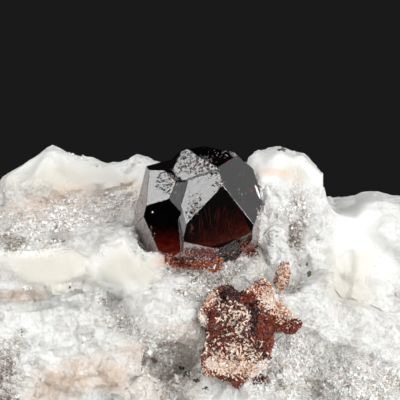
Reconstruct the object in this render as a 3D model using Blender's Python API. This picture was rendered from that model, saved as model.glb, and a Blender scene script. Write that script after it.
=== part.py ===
"""Garnet in matrix: an intergrown pair of garnet crystals seated in a lump of feldspar and quartz.

Four closed solids at real size, +Z up, resting on the flat broken base of the rock:
matrix, garnet, broken_garnet and garnet_splinter. Lengths below are millimetres; the meshes are metres.
"""

import itertools
import math
import random

import bmesh
import bpy
from mathutils import Euler, Matrix, Vector, noise
from mathutils.bvhtree import BVHTree

MM = 0.001

# ---- driving dimensions -------------------------------------------------------------------------
GARNET_CENTRE = Vector((0.0, -5.0, 28.0))   # the point that the crystal faces are measured from
GAP = 0.3                                   # clearance between a seated piece and its pocket
FAR = 60.0                                  # beyond every piece: half-size of the base cutter

# ---- garnet: two individuals of the trapezohedron {211} ------------------------------------------
# Each table gives the distance of a face from GARNET_CENTRE, by Miller index. A face that is not
# listed has USUAL_DISTANCE. The {110} faces are only on the individual that lists them.
USUAL_DISTANCE = 6.6
RIGHT_TURN = (118.5, 0.0, -47.5)            # degrees about X, Y and Z
RIGHT_FACES = {
    (2, 1, 1): 6.25, (1, 2, 1): 5.35, (2, 1, -1): 6.1, (1, 2, -1): 6.25, (2, -1, 1): 7.6,
    (2, -1, -1): 7.0, (1, 1, -2): 6.8, (1, 1, 2): 7.2, (-1, 1, 2): 3.8, (-1, 2, 1): 5.2,
    (-1, 2, -1): 5.6, (-1, 1, -2): 4.6, (1, -1, -2): 5.7, (-2, 1, -1): 3.6, (-1, -1, 2): 4.8,
    (1, -1, 2): 7.6, (1, -2, 1): 7.0, (1, -2, -1): 7.8,
    (1, -1, 0): 7.3, (1, 0, 1): 7.5, (0, 1, 1): 5.05,
}
LEFT_TURN = (124.0, -25.0, -42.5)
LEFT_FACES = {
    (1, 2, 1): 5.9, (1, 1, 2): 6.05, (2, 1, 1): 4.95, (-1, 2, 1): 6.4, (-1, 1, 2): 7.1,
    (1, 2, -1): 4.75, (1, 1, -2): 4.6, (2, 1, -1): 4.6, (2, -1, -1): 4.0, (2, -1, 1): 5.6,
    (-2, 1, 1): 7.0, (-2, -1, 1): 5.6, (-2, 1, -1): 4.3, (1, -2, 1): 5.6, (1, -2, -1): 4.0,
    (1, 1, 0): 5.0,
}
LAYER_FACE = (1, 2, 1)                      # the right crystal's face that carries a growth layer
LAYER_HEIGHT = 0.12
LAYER_RISER = (1, 0, 1)                     # the layer ends at a small step parallel to this face
LAYER_RISER_DISTANCE = 2.65
CRYSTAL_REACH = 12.0                        # beyond every face of the garnet

# ---- rock: (centre, half-size, turn in degrees, boxiness, corners), fused into one lump -----------
# Boxiness 2 is an ellipsoid and 8 nearly a box; few corners give large flat cleavage faces.
ROCK_VOXEL = 0.55                           # grain of the fused rock before it is simplified
ROCK_TRIANGLES = 7600
BLOCKS = {
    "core": ((0, 4, 8.5), (29, 15, 10), (0, 0, 0), 5, 60),
    "back left": ((-8, 9.5, 14), (19, 8.5, 12), (8, 0, 6), 4, 30),
    "back right": ((12, 9.5, 12), (16, 9, 11), (5, 0, -8), 4, 30),
    "back upper left": ((-17, 11, 16.5), (7.5, 8, 7.5), (-6, 8, 12), 8, 34),
    "back lower left": ((-20, 11.5, 6.5), (9, 8, 8), (6, -5, 9), 8, 34),
    "back middle": ((-4, 13.5, 12), (8.5, 7.5, 10), (7, 4, -5), 8, 34),
    "back top": ((3.5, 9.5, 22.5), (6.5, 6.5, 6), (-10, -6, 8), 8, 30),
    "back lower right": ((12.5, 12.5, 6.5), (9.5, 7.5, 8), (-5, 3, -10), 8, 30),
    "back upper right": ((23, 9.5, 15), (8, 7.5, 9), (5, -6, -14), 8, 30),
    "seat behind the garnet": ((0.5, 3.5, 23.0), (7.5, 5.5, 8.6), (-10, 0, 0), 5, 30),
    "upper left block": ((-14.9, 4.5, 22.2), (8.3, 7.5, 10), (-28, 4, 4), 5, 26),
    "left hump": ((-16.8, 3.4, 28.4), (4.4, 4.6, 5.0), (-24, 8, 0), 4, 20),
    "shoulder by the garnet": ((-7.5, 4, 23.7), (6.5, 6.0, 8.4), (-20, 0, 0), 5, 24),
    "far left": ((-24, 4, 16.8), (7.5, 9, 10), (-18, -20, 0), 4, 26),
    "left slope": ((-14, -1, 20), (9.5, 7.5, 6.5), (-35, 0, 0), 4, 26),
    "creamy ledge": ((-19.5, -7.6, 22.2), (9.8, 6.6, 3.5), (0, 2, 4), 3.2, 46),
    "creamy bulge": ((-7.8, -6.2, 21.6), (5.8, 5.6, 4.4), (-12, 8, 0), 3, 40),
    "white lump": ((-4.6, -8.2, 16.4), (4.4, 5.4, 4.8), (-8, 12, 20), 5, 16),
    "lower left": ((-18.0, -4.6, 11.0), (12.5, 10.6, 11.0), (-16, 0, 6), 5, 28),
    "lower left knob": ((-19.5, -9.8, 13.5), (6.0, 5.5, 4.8), (0, 20, 10), 4, 16),
    "lower middle knob": ((-11, -10.5, 8), (6, 5.5, 4.8), (10, -15, 0), 5, 16),
    "pedestal": ((0.6, -3.4, 15.6), (8.4, 8.4, 7.9), (0, 0, 0), 5, 34),
    "middle": ((4.5, -5, 11.0), (8.4, 8.8, 8.6), (-12, 0, 0), 4, 30),
    "upright block": ((8.8, 1.6, 23.6), (5.2, 5.6, 10.2), (-2, 6, 6), 6, 30),
    "between the blocks": ((14.8, 1.6, 16.4), (4.8, 5.2, 10.6), (-3, 0, 0), 6, 26),
    "right block": ((21.5, 5.0, 17.2), (12.0, 7.8, 10.4), (-4, -4, -4), 7, 34),
    "upper shelf": ((13.5, -2.6, 12.0), (8.5, 7, 6.2), (-8, 6, 0), 5, 20),
    "lower shelf": ((20, -4.5, 6.0), (13, 9, 7.6), (-4, 3, 0), 4, 24),
}
FRACTURES = (                               # flat breaks: direction, and distance from ROCK_CENTRE
    ((0.10, 0.92, 0.38), 18.5), ((-0.45, 0.85, 0.10), 22.0), ((0.55, 0.75, -0.10), 24.0),
    ((0.97, 0.05, 0.25), 31.5), ((0.88, -0.42, -0.10), 31.0), ((0.80, 0.10, -0.60), 27.5),
    ((-0.95, -0.10, 0.30), 29.5), ((-0.90, 0.35, -0.15), 29.0), ((-0.70, -0.60, -0.40), 28.0),
    ((0.30, 0.55, 0.78), 20.5), ((-0.35, 0.50, 0.80), 22.5), ((0.0, 0.90, -0.45), 19.5),
)
CHIPS = 60                                  # small broken blocks scattered over the surface
CHIP_SIZE = (1.8, 4.6)
CHIP_DEPTH = 0.9                            # how far each is sunk, as a share of its least half-size
CHIP_CLEARANCE = 9.0                        # none this near the garnet's centre
CHIP_CEILING = 26.0                         # none above this height
CHIP_SEED = 12
CHIP_BOXINESS = 6
CHIP_CORNERS = 12
ROCK_CENTRE = Vector((0.0, 2.0, 13.0))
ROCK_REACH = (24.0, 8.0, 9.0)
BROAD_RELIEF = (0.35, 4.5, 3.7)             # height, spacing and noise offset of the unevenness
FINE_RELIEF = (0.12, 1.3, 8.1)

# ---- broken garnet: outline on the rock's front face, as (x, z) from its centre --------------------
BROKEN_CENTRE = Vector((4.6, -13.0, 16.3))
BROKEN_LEAN = -14.0                         # degrees; its top leans away from the front
BROKEN_PROUD = 0.9                          # how far it stands out of its outline's plane
BROKEN_DEPTH = 4.0
BROKEN_VOXEL = 0.3
BROKEN_RELIEF = (0.9, 1.6, 1.3)
BROKEN_TRIANGLES = 900
POCKET_FRONT = 8.0                          # its pocket is open this far forward
RELIEF_MARGIN = 0.15                        # extra clearance, for the grain of the two surfaces
BROKEN_OUTLINE = (
    (-4.8, 1.3), (-3.0, 4.2), (-1.6, 4.5), (-0.4, 3.6), (0.6, 4.2), (2.2, 5.3), (2.9, 4.4),
    (4.2, 2.2), (6.0, 0.6), (5.4, -0.4), (4.4, -0.3), (3.0, 0.4), (3.0, -1.8), (2.2, -3.8),
    (0.9, -4.6), (-0.6, -5.9), (-2.2, -5.2), (-4.2, -4.4), (-4.3, -2.6), (-3.3, -0.2),
)
SPLINTER_CENTRE = Vector((8.9, -8.6, 20.9))
SPLINTER_SIZE = (0.75, 1.2, 1.6)
SPLINTER_TURN = (-10.0, 14.0, 0.0)
SPLINTER_FORM = (3, 14, 5)                  # boxiness, corners and seed


# ---- helpers -------------------------------------------------------------------------------------
def turn_matrix(degrees):
    return Euler([math.radians(a) for a in degrees], "XYZ").to_matrix()


def add_object(name, mesh):
    thing = bpy.data.objects.new(name, mesh)
    bpy.context.scene.collection.objects.link(thing)
    return thing


def hull_mesh(name, points):
    """The convex hull of points in millimetres, as a mesh in metres with whole flat faces."""
    shape = bmesh.new()
    for point in points:
        shape.verts.new(Vector(point) * MM)
    result = bmesh.ops.convex_hull(shape, input=shape.verts)
    spare = [v for v in result["geom_interior"] if isinstance(v, bmesh.types.BMVert)]
    bmesh.ops.delete(shape, geom=spare, context="VERTS")
    bmesh.ops.dissolve_limit(shape, angle_limit=math.radians(0.2), verts=shape.verts, edges=shape.edges)
    bmesh.ops.recalc_face_normals(shape, faces=shape.faces)
    mesh = bpy.data.meshes.new(name)
    shape.to_mesh(mesh)
    shape.free()
    return mesh


def corners_of(planes):
    """The corners of the convex body inside all the planes, each a (unit normal, distance)."""
    corners = []
    for (n1, d1), (n2, d2), (n3, d3) in itertools.combinations(planes, 3):
        volume = n1.dot(n2.cross(n3))
        if abs(volume) < 1e-4:
            continue
        point = (n2.cross(n3) * d1 + n3.cross(n1) * d2 + n1.cross(n2) * d3) / volume
        if all(n.dot(point) < d + 1e-4 for n, d in planes):
            if all((point - other).length > 1e-3 for other in corners):
                corners.append(point)
    return corners


def fused(thing, modifiers):
    """Adds modifiers to an object and keeps their result as its mesh."""
    for kind, settings in modifiers:
        modifier = thing.modifiers.new(kind.lower(), kind)
        for key, value in settings.items():
            setattr(modifier, key, value)
    graph = bpy.context.evaluated_depsgraph_get()
    mesh = bpy.data.meshes.new_from_object(thing.evaluated_get(graph))
    thing.modifiers.clear()
    thing.data = mesh
    return thing


def cut(thing, cutter, operation="DIFFERENCE"):
    fused(thing, [("BOOLEAN", {"object": cutter, "operation": operation, "solver": "EXACT"})])
    bpy.data.objects.remove(cutter)
    return thing


# ---- materials -----------------------------------------------------------------------------------
def principled(name, colour, roughness, transmission=0.0, ior=1.5):
    material = bpy.data.materials.new(name)
    material.use_nodes = True
    shader = material.node_tree.nodes["Principled BSDF"]
    shader.inputs["Base Color"].default_value = (*colour, 1.0)
    shader.inputs["Roughness"].default_value = roughness
    shader.inputs["Metallic"].default_value = 0.0
    shader.inputs["Transmission Weight"].default_value = transmission
    shader.inputs["IOR"].default_value = ior
    return material


# ---- garnet --------------------------------------------------------------------------------------
def trapezohedron_indices():
    signs = itertools.product((1, -1), repeat=3)
    triples = itertools.product(signs, set(itertools.permutations((2, 1, 1))))
    return sorted({tuple(s * i for s, i in zip(sign, index)) for sign, index in triples})


def crystal_planes(turn, distances, grow=0.0):
    rotation = turn_matrix(turn)
    indices = sorted(set(trapezohedron_indices()) | set(distances))
    planes = []
    for index in indices:
        normal = (rotation @ Vector(index)).normalized()
        planes.append((normal, distances.get(index, USUAL_DISTANCE) + grow))
    return planes


def crystal(name, turn, distances, grow=0.0):
    corners = [GARNET_CENTRE + c for c in corners_of(crystal_planes(turn, distances, grow))]
    return add_object(name, hull_mesh(name, corners))


def layer_cutter():
    """The wedge that leaves a low growth layer, with a small step, on one face of the right crystal."""
    rotation = turn_matrix(RIGHT_TURN)
    face = (rotation @ Vector(LAYER_FACE)).normalized()
    riser = (rotation @ Vector(LAYER_RISER)).normalized()
    planes = [(-face, -RIGHT_FACES[LAYER_FACE]), (-riser, -LAYER_RISER_DISTANCE)]
    for axis in (Vector((1, 0, 0)), Vector((0, 1, 0)), Vector((0, 0, 1))):
        planes += [(axis, CRYSTAL_REACH), (-axis, CRYSTAL_REACH)]
    corners = [GARNET_CENTRE + c for c in corners_of(planes)]
    return add_object("layer_cutter", hull_mesh("layer_cutter", corners))


def build_garnet(material):
    layered = dict(RIGHT_FACES)
    layered[LAYER_FACE] += LAYER_HEIGHT
    right = crystal("garnet", RIGHT_TURN, layered)
    cut(right, layer_cutter())
    cut(right, crystal("left_crystal", LEFT_TURN, LEFT_FACES), "UNION")
    right.data.materials.append(material)
    return right


# ---- rock ----------------------------------------------------------------------------------------
def block_points(centre, half, turn, boxiness, corners, seed):
    """Points spread evenly over a rounded box, each moved a little so that no two faces match."""
    draw = random.Random(seed)
    rotation = turn_matrix(turn)
    golden = math.pi * (3.0 - math.sqrt(5.0))
    points = []
    for i in range(corners):
        height = 1.0 - 2.0 * (i + 0.5) / corners
        ring = math.sqrt(1.0 - height * height)
        angle = golden * i + draw.uniform(-0.3, 0.3)
        way = Vector((ring * math.cos(angle), ring * math.sin(angle), height))
        size = sum(abs(a) ** boxiness for a in way) ** (-1.0 / boxiness)
        size *= draw.uniform(0.92, 1.02)
        local = Vector([a * size * h for a, h in zip(way, half)])
        points.append(Vector(centre) + rotation @ local)
    return points


def rough(mesh, relief, front_only=False):
    """Moves each point of a mesh along its normal by smooth noise, or only the points that face -Y."""
    height, spacing, offset = relief
    moves = []
    for vertex in mesh.vertices:
        place = vertex.co / (spacing * MM) + Vector((offset, offset, offset))
        moved = 0.0 if front_only and vertex.normal.y > -0.5 else height
        moves.append(vertex.normal * noise.noise(place) * moved * MM)
    for vertex, move in zip(mesh.vertices, moves):
        vertex.co += move


def fuse_parts(name, parts, voxel):
    """Joins closed meshes into one object and fuses them into one skin."""
    shape = bmesh.new()
    for part in parts:
        shape.from_mesh(part)
        bpy.data.meshes.remove(part)
    mesh = bpy.data.meshes.new(name)
    shape.to_mesh(mesh)
    shape.free()
    return fused(add_object(name, mesh), [("REMESH", {"mode": "VOXEL", "voxel_size": voxel * MM})])


def simplified(thing, triangles):
    """Collapses edges until about that many triangles are left; the mesh comes in as quads."""
    fused(thing, [("DECIMATE", {"ratio": triangles / (2.0 * len(thing.data.polygons))})])


def fracture_body():
    """The convex body that the flat breaks leave."""
    planes = [(Vector(way).normalized(), distance) for way, distance in FRACTURES]
    for axis in (Vector((1, 0, 0)), Vector((0, 1, 0)), Vector((0, 0, 1))):
        planes += [(axis, FAR), (-axis, FAR)]
    corners = [ROCK_CENTRE + c for c in corners_of(planes)]
    return add_object("fracture_body", hull_mesh("fracture_body", corners))


def chip_meshes(rock):
    """Angular fragments half sunk in the rock's surface, where rays from all around meet it."""
    draw = random.Random(CHIP_SEED)
    corners = [v.co / MM for v in rock.data.vertices]
    tree = BVHTree.FromPolygons(corners, [p.vertices for p in rock.data.polygons])
    chips = []
    while len(chips) < CHIPS:
        start = Vector([draw.uniform(-1, 1) for _ in range(3)]).normalized() * FAR + ROCK_CENTRE
        target = ROCK_CENTRE + Vector([draw.uniform(-a, a) for a in ROCK_REACH])
        place = tree.ray_cast(start, target - start)[0]
        turn = [draw.uniform(-40, 40) for _ in range(3)]
        half = [draw.uniform(*CHIP_SIZE) for _ in range(3)]
        if place is None or place.z > CHIP_CEILING or (place - GARNET_CENTRE).length < CHIP_CLEARANCE:
            continue
        centre = place + (ROCK_CENTRE - place).normalized() * min(half) * CHIP_DEPTH
        points = block_points(centre, half, turn, CHIP_BOXINESS, CHIP_CORNERS, len(chips))
        chips.append(hull_mesh("chip", points))
    return chips


def build_rock():
    blocks = [hull_mesh(name, block_points(*block, seed=name)) for name, block in BLOCKS.items()]
    rock = fuse_parts("matrix", blocks, ROCK_VOXEL)
    cut(rock, fracture_body(), "INTERSECT")
    whole = rock.data.copy()
    chips = chip_meshes(rock)
    bpy.data.objects.remove(rock)
    rock = fuse_parts("matrix", [whole] + chips, ROCK_VOXEL)
    rough(rock.data, BROAD_RELIEF)
    rough(rock.data, FINE_RELIEF)
    simplified(rock, ROCK_TRIANGLES)
    return rock


def box_object(name, low, high):
    corners = itertools.product(*zip(low, high))
    return add_object(name, hull_mesh(name, list(corners)))


# ---- broken garnet and splinter --------------------------------------------------------------------
def widened(outline, grow):
    """The outline with every side moved outward by grow. Its corners run clockwise, seen from the front."""
    points = [Vector(p) for p in outline]
    result = []
    for i, point in enumerate(points):
        before = (point - points[i - 1]).normalized()
        after = (points[(i + 1) % len(points)] - point).normalized()
        outward = Vector((-before.y - after.y, before.x + after.x)).normalized()
        result.append(point + outward * grow / max(0.5, outward.dot(Vector((-after.y, after.x)))))
    return result


def plate(name, grow, front, back):
    """A prism on BROKEN_OUTLINE, leaning with the rock face: front and back are depths along its own Y."""
    lean = turn_matrix((BROKEN_LEAN, 0, 0))
    shape = bmesh.new()
    ring = [Vector((x, 0.0, z)) for x, z in widened(BROKEN_OUTLINE, grow)]
    rows = []
    for depth in (front, back):
        row = [BROKEN_CENTRE + lean @ (p + Vector((0, depth, 0))) for p in ring]
        rows.append([shape.verts.new(p * MM) for p in row])
    shape.faces.new(rows[0])
    shape.faces.new(rows[1])
    count = len(ring)
    for i in range(count):
        j = (i + 1) % count
        shape.faces.new((rows[0][i], rows[0][j], rows[1][j], rows[1][i]))
    bmesh.ops.recalc_face_normals(shape, faces=shape.faces)
    mesh = bpy.data.meshes.new(name)
    shape.to_mesh(mesh)
    shape.free()
    return add_object(name, mesh)


def build_broken_garnet(material):
    piece = plate("broken_garnet", 0.0, -BROKEN_PROUD, BROKEN_DEPTH)
    fused(piece, [("REMESH", {"mode": "VOXEL", "voxel_size": BROKEN_VOXEL * MM})])
    rough(piece.data, BROKEN_RELIEF, front_only=True)
    simplified(piece, BROKEN_TRIANGLES)
    piece.data.materials.append(material)
    return piece


def splinter(name, grow):
    size = [s + grow for s in SPLINTER_SIZE]
    points = block_points(SPLINTER_CENTRE, size, SPLINTER_TURN, *SPLINTER_FORM)
    return add_object(name, hull_mesh(name, points))


# ---- the whole -------------------------------------------------------------------------------------
def stand_on_origin(pieces):
    """Moves the group along X and Y so that the middle of its base box is at the origin."""
    points = [v.co for piece in pieces for v in piece.data.vertices]
    middle = [0.5 * (min(p[i] for p in points) + max(p[i] for p in points)) for i in (0, 1)]
    for piece in pieces:
        piece.data.transform(Matrix.Translation((-middle[0], -middle[1], 0.0)))


def build():
    for thing in list(bpy.data.objects):
        bpy.data.objects.remove(thing)
    white_rock = principled("feldspar_and_quartz", (0.75, 0.73, 0.68), 0.6)
    red_crystal = principled("garnet_crystal", (0.10, 0.008, 0.006), 0.08, 1.0, 1.8)
    rusty_garnet = principled("weathered_garnet", (0.25, 0.06, 0.03), 0.6)

    garnet = build_garnet(red_crystal)
    broken = build_broken_garnet(rusty_garnet)
    fragment = splinter("garnet_splinter", 0.0)
    fragment.data.materials.append(rusty_garnet)

    rock = build_rock()
    cut(rock, box_object("base_cutter", (-FAR, -FAR, -FAR), (FAR, FAR, 0.0)))
    cut(rock, crystal("pocket", RIGHT_TURN, RIGHT_FACES, GAP))
    cut(rock, crystal("pocket", LEFT_TURN, LEFT_FACES, GAP))
    cut(rock, plate("pocket", GAP + RELIEF_MARGIN, -POCKET_FRONT, BROKEN_DEPTH + GAP))
    cut(rock, splinter("pocket", GAP))
    rock.data.materials.append(white_rock)
    stand_on_origin([rock, garnet, broken, fragment])


build()
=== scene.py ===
"""Looks of the garnet in matrix: the finish of the rock, the clear red crystals and the rusty garnet."""

import itertools
import math
import random

import bmesh
import bpy
import numpy as np
from mathutils import Euler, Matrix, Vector
from mathutils.bvhtree import BVHTree


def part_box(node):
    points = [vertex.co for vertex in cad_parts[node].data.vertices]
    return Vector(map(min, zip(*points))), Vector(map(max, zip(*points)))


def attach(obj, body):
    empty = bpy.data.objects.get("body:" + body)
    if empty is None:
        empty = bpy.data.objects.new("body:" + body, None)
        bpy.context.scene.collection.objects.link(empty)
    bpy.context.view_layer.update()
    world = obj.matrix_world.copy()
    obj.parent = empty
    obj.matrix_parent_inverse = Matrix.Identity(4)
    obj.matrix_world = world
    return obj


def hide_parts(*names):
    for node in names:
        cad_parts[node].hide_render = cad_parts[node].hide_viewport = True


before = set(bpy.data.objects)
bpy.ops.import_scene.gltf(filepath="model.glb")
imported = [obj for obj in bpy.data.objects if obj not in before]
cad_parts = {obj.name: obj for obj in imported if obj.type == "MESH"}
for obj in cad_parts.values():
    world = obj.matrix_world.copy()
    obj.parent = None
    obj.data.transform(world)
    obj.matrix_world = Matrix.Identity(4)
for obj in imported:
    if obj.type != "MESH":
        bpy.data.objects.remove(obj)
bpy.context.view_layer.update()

# ---- scale and camera ---------------------------------------------------------------------------
MM = 0.001
PIXEL = 0.108 * MM                 # one pixel of the 400-pixel picture, at the garnet's distance
PICTURE = 400
LENS = 135.0
SENSOR = 36.0
DISTANCE = PICTURE * PIXEL * LENS / SENSOR
LOOK_DOWN = math.radians(10.0)
RIGHT = Vector((1.0, 0.0, 0.0))
UP = Vector((0.0, math.sin(LOOK_DOWN), math.cos(LOOK_DOWN)))
BACK = Vector((0.0, -math.cos(LOOK_DOWN), math.sin(LOOK_DOWN)))
GARNET_PIXEL = (199, 205)          # where the picture shows the garnet's centre
GARNET_LOW, GARNET_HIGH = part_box("garnet")
GARNET_CENTRE = (GARNET_LOW + GARNET_HIGH) / 2 + Vector((0.1, 0.2, 0.45)) * MM
MIDDLE = PICTURE / 2
TARGET = GARNET_CENTRE + RIGHT * (MIDDLE - GARNET_PIXEL[0]) * PIXEL + UP * (GARNET_PIXEL[1] - MIDDLE) * PIXEL
EYE = TARGET + BACK * DISTANCE

# ---- crystal faces ------------------------------------------------------------------------------
INCLUSIONS = (                     # place and spread in pixels, count, then mm: depth, width, length
    (218, 227, 21, 18, 80, 2.0, 0.03, 0.8), (143, 226, 3, 6, 22, 0.3, 0.06, 0.10),
    (147, 236, 3, 7, 22, 0.3, 0.06, 0.10), (191, 229, 2, 5, 20, 0.4, 0.06, 0.12),
)
PAINTED_GLOW_PLANES = (                  # corners in the picture, depth of the near and far edge in mm, glow; sheets with a painted red glow that fades to painted black shade
    ((150, 252), (182, 260), (181, 210), (144, 212), 0.2, 5.0, 1.0),
    ((184, 255), (252, 233), (222, 189), (191, 216), 0.5, 5.0, 0.35),
)
RIGHT_TURN = (118.5, 0.0, -47.5)   # degrees about X, Y and Z, as the solids are turned
LEFT_TURN = (124.0, -25.0, -42.5)
FACE_LOOKS = (                     # crystal's turn, Miller index, how etched it is, how stained
    (RIGHT_TURN, (1, 2, 1), 0.34, 0.0),
    (LEFT_TURN, (1, 2, 1), 0.22, 0.0),
    (LEFT_TURN, (-1, 2, 1), 0.7, 0.7),
    (LEFT_TURN, (-1, 1, 2), 0.5, 0.8),
    (LEFT_TURN, (1, 2, -1), 0.24, 0.0),
    (RIGHT_TURN, (1, 2, -1), 0.24, 0.0),
    (LEFT_TURN, (1, 1, 0), 0.5, 0.0),
    (RIGHT_TURN, (1, 0, 1), 1.1, 0.9),
    (RIGHT_TURN, (1, -1, 0), 1.1, 0.85),
    (RIGHT_TURN, (2, -1, -1), 0.5, 0.8),
)
ETCHED = (                         # zone (see below), and how much more etched it is
    (194, 164, 24, 9, 12, 0.78), (169, 181, 12, 11, 0, 0.92), (194, 209, 5, 12, 25, 0.76),
    (224, 184, 5, 6, -30, 0.76),
)
# rust stains on the crystal, and at (243, 155) a painted pinkish-red rim light along the right end of a dark
# face
STAINS_AND_RIM_LIGHT = ((243, 155, 12, 5, 30), (146, 228, 4, 6, 0), (205, 252, 34, 7, 0))
FOOT_STAIN = ((206, 256, 62, 15, 0),)
FACET_GRID = 0.6 * MM              # longest edge inside a face, so that zones can vary across it
SAME_FACE = 0.996                  # cosine within which a normal belongs to a face
EDGE_WIDTH = 0.045 * MM

# ---- rock ---------------------------------------------------------------------------------------
ROCK_VOXEL = 0.7 * MM
HUG = 0.62 * MM                    # rock nearer than this to a seated piece is drawn in to it
BED = 0.02 * MM                    # clearance left where the rock is drawn in
FOOT = 0.35 * MM                   # the base stays flat below this height

# Zones of the rock's front: centre, half-width, half-height and turn, in the picture's pixels and
# in degrees. Some tables add a value to each zone.
GREY_QUARTZ = (
    (118, 193, 26, 7, -4), (66, 216, 76, 16, -12), (22, 243, 38, 12, 4), (104, 301, 9, 7, 20),
    (206, 270, 38, 10, 0), (194, 290, 20, 14, 0), (239, 267, 8, 7, 0), (5, 378, 24, 38, 0),
    (128, 326, 30, 12, 30), (172, 370, 40, 32, 0), (296, 214, 9, 44, 0), (345, 386, 66, 32, 4),
    (300, 352, 36, 16, 22), (290, 285, 10, 10, 0), (205, 322, 14, 18, 0), (272, 360, 16, 34, 20),
)
SMOKY_AND_SHADE = (                          # where the quartz is darkest, and painted shade in two small hollows
    (206, 271, 38, 11, 0), (239, 267, 8, 7, 0), (104, 302, 5, 4, 20), (150, 362, 9, 5, 0),
    (5, 385, 14, 26, 0), (296, 240, 7, 18, 0), (172, 346, 12, 4, 0), (12, 240, 14, 9, 0),
    (60, 236, 12, 7, 0), (205, 318, 8, 12, 0),
)
CREAM = (
    (45, 268, 50, 19, 0), (128, 268, 36, 16, 0), (352, 282, 24, 30, 0), (60, 180, 60, 20, 0),
    (252, 265, 9, 8, 0), (296, 172, 14, 12, 0),
)
# tan stains, and painted shade along the underside of the cream ledge (15, 295) and below the white lump
# (150, 344)
TAN_AND_SHADE = (
    (15, 295, 24, 7, 0), (150, 344, 30, 6, -12), (62, 380, 38, 16, -20), (278, 172, 17, 4, 5),
    (112, 374, 16, 16, 0), (168, 364, 40, 30, 0), (128, 189, 14, 4, -6), (68, 205, 50, 16, -8),
)
RUSTY = ((197, 262, 30, 6, 0), (244, 380, 22, 7, -10))
SMOOTH = (                         # where the rock has broken along flat cleavage
    (70, 170, 86, 20, 6), (364, 246, 40, 62, 0), (45, 268, 50, 18, 0), (118, 268, 38, 24, 0),
    (286, 168, 44, 20, 0),
)
FIBROUS = ((297, 212, 15, 50, 0),)
FLAT = (                           # zone in one plane, and how far a lump on it may stand out in mm
    (66, 170, 74, 17, 4, 1.2), (364, 246, 44, 62, 0, 1.2), (292, 212, 34, 62, 0, 3.4),
    (72, 318, 56, 24, 0, 1.2), (45, 268, 48, 13, 0, 1.2), (122, 264, 38, 22, 0, 1.2),
    (318, 318, 34, 12, 28, 1.2), (96, 372, 40, 18, -12, 1.2),
)
SKYLINES = (                       # the rock's top edge in the picture, left and right of the crystal
    ((0, 178), (24, 163), (48, 148), (64, 151), (88, 157), (112, 162), (128, 160)),
    ((264, 149), (280, 146), (296, 152), (304, 153), (310, 158), (316, 164), (321, 170)),
    ((334, 198), (344, 197), (354, 196), (362, 192), (376, 191), (388, 194), (399, 196)),
)
SIDEWAYS = ((1, -0.95, 20, 235), (331, -0.6, 12, 205))  # centre, millimetres, reach, lowest pixel
ASIDE = ((147, 241, 12, 18, -30, -0.85, -0.5),)  # zone, and how far right and up it moves in mm
SKY_DEPTH = 36                     # pixels below the top edge that move with it
SKY_SHIFT = 14                     # most that it moves, in pixels
SKY_MARGIN = 8.0                   # pixels over which a part of the skyline fades out at its ends
SKY_COLUMN = 3.0                   # half the width of the column that is searched for the top edge
SIDE_FADE = 25.0                   # pixels over which the move sideways fades out downwards
EDGE_FADE = 25.0                   # pixels outside the picture in which the rock turns to its unseen look
OUTSIDE = 20                       # pixels outside the picture up to which its zones are used
HOLLOWS = 3.8 * MM                 # deepest hollow that a flat zone fills
HOLLOW_FADE = 2.4 * MM
LUMP_FADE = 0.8                    # millimetres over which a lump stands out of a flat zone
PLANE_DEPTH = 3.0 * MM             # points farther back than this don't set a flat zone's plane
FLATNESS = 0.8                     # share of the way to the plane
BESIDE = 1.3 * MM                  # how near to a seated piece the rock is rusty
RAISED = (                         # zone, and its height in mm
    (42, 266, 46, 15, 0, 0.4), (150, 304, 30, 30, 0, 0.4), (312, 318, 36, 14, 28, 0.45),
    (122, 262, 36, 20, 0, 0.25), (62, 330, 40, 22, 0, 0.25), (90, 368, 44, 20, -12, 0.3),
    (22, 306, 28, 6, 0, -0.45), (80, 297, 28, 10, 10, 0.8), (270, 222, 9, 36, 0, 0.7),
    (150, 352, 36, 7, -10, -0.35), (149, 364, 8, 5, 0, -0.8), (104, 301, 9, 8, 20, -0.2),
    (350, 388, 84, 32, 8, -0.5), (345, 275, 10, 26, 8, -0.35), (208, 271, 22, 5, 0, 0.3),
    (137, 240, 8, 12, -10, -0.35), (279, 334, 8, 6, 0, 0.5), (168, 400, 48, 22, 0, 1.4),
    (118, 192, 28, 7, -4, -0.3),
)

# Grains: centre and spread in the picture, count, half-size in mm, and for specks their look.
BLACK, GREEN, OCHRE, RED = range(4)
SPECKS = (
    (281, 150, 5, 1.5, 16, 0.15, BLACK), (298, 241, 7, 17, 70, 0.05, BLACK),
    (277, 235, 1, 4, 4, 0.1, OCHRE), (307, 264, 1, 2, 4, 0.11, GREEN), (310, 274, 2, 3, 12, 0.15, GREEN),
    (70, 287, 0.6, 0.6, 4, 0.11, RED), (22, 333, 1, 4, 5, 0.09, GREEN), (33, 345, 12, 8, 8, 0.05, GREEN),
    (181, 368, 4, 2, 22, 0.12, BLACK), (188, 374, 4, 3, 24, 0.13, GREEN),
    (196, 381, 4, 2, 22, 0.12, BLACK), (205, 388, 4, 2, 14, 0.10, BLACK), (281, 385, 4, 4, 6, 0.1, OCHRE),
    (284, 389, 2, 1, 3, 0.1, BLACK), (121, 307, 1, 1, 2, 0.07, BLACK), (130, 319, 1, 1, 2, 0.07, BLACK),
    (143, 255, 1, 1, 2, 0.06, BLACK), (155.5, 186, 0.3, 0.3, 1, 0.09, BLACK),
)
SPECK_LOOKS = (
    ("black_mica", (0.02, 0.022, 0.018, 1.0), (0.09, 0.085, 0.07, 1.0), 0.25),
    ("green_grains", (0.025, 0.06, 0.015, 1.0), (0.10, 0.16, 0.05, 1.0), 0.4),
    ("ochre_grains", (0.28, 0.17, 0.06, 1.0), (0.45, 0.33, 0.15, 1.0), 0.7),
    ("red_grain", (0.22, 0.03, 0.02, 1.0), (0.35, 0.07, 0.04, 1.0), 0.3),
)
SLIVER = ((254.5, 184), (260.5, 200))  # its two ends in the picture
SLIVER_HALF = 0.16 * MM
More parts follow.
